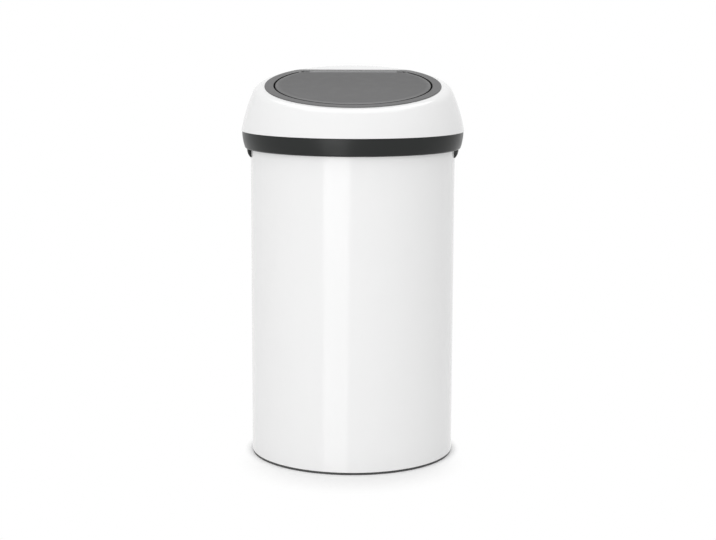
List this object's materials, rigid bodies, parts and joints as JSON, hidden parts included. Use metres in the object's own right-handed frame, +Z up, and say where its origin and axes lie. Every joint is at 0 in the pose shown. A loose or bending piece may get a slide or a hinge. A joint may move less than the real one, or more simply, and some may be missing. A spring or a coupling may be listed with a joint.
{
  "type": "touch-top waste bin",
  "caption": "Round upright waste bin with a dark rim and a domed hood; a press on the sloping flap frees a latch and the flap swings up, and the hood lifts to change the bag.",
  "frame": {"origin": "on the floor, on the axis of the drum", "axes": "+Z up, the low front of the slope faces -Y, the hood hinge is at +Y"},
  "size_m": [0.38, 0.393, 0.6636],
  "materials": {
    "painted_shell": "smooth white powder coat, satin gloss",
    "rim_plastic": "dark grey moulded plastic, fine grain",
    "base_plastic": "black moulded plastic",
    "frame_plastic": "mid-grey moulded plastic, satin",
    "flap_plastic": "mid-grey moulded plastic, satin",
    "inner_plastic": "dark grey moulded plastic",
    "latch_plastic": "pale low-friction plastic",
    "floor_steel": "grey coated sheet",
    "bright_steel": "bright zinc-plated steel",
    "buffer_rubber": "soft black rubber"
  },
  "bodies": {
    "bin": {"drum": "painted_shell", "floor_plate": "floor_steel", "base_ring": "base_plastic", "rim_ring": "rim_plastic", "rim_rivets": "bright_steel", "carry_grip_left": "rim_plastic", "carry_grip_right": "rim_plastic", "grip_rivets": "bright_steel", "hinge_bracket": "rim_plastic", "bracket_screws": "bright_steel", "hood_hinge_pin": "bright_steel"},
    "hood": {"hood_shell": "painted_shell", "hood_carrier": "inner_plastic", "hood_buffers": "buffer_rubber", "hinge_leaf": "rim_plastic", "leaf_screws": "bright_steel", "flap_frame": "frame_plastic", "frame_retainer": "inner_plastic", "frame_screws": "bright_steel", "flap_bush_left": "latch_plastic", "flap_bush_right": "latch_plastic", "flap_spring": "bright_steel", "latch_housing": "inner_plastic", "latch_screws": "bright_steel", "latch_spring": "bright_steel"},
    "touch": {"flap_pin": "bright_steel", "latch_slider": "latch_plastic"},
    "flap": {"flap_panel": "flap_plastic", "flap_inner": "inner_plastic", "flap_screws": "bright_steel", "latch_striker": "inner_plastic", "striker_screws": "bright_steel"}
  },
  "joints": [
    {"name": "hood_lift", "type": "hinge", "parent": "bin", "child": "hood", "pos_m": [0, 0.1975, 0.554], "axis": [-1, 0, 0], "range_deg": [0, 95]},
    {"name": "flap_touch", "type": "hinge", "parent": "hood", "child": "touch", "pos_m": [0, 0.09876, 0.65217], "axis": [-1, 0, 0], "range_deg": [-1, 0], "stiffness_Nm_per_rad": 72.81, "springref_deg": 0.39, "deforming": ["flap_spring", "latch_spring"]},
    {"name": "flap_swing", "type": "hinge", "parent": "touch", "child": "flap", "pos_m": [0, 0.09876, 0.65217], "axis": [-1, 0, 0], "range_deg": [0, 85], "deforming": ["flap_spring"]}
  ]
}
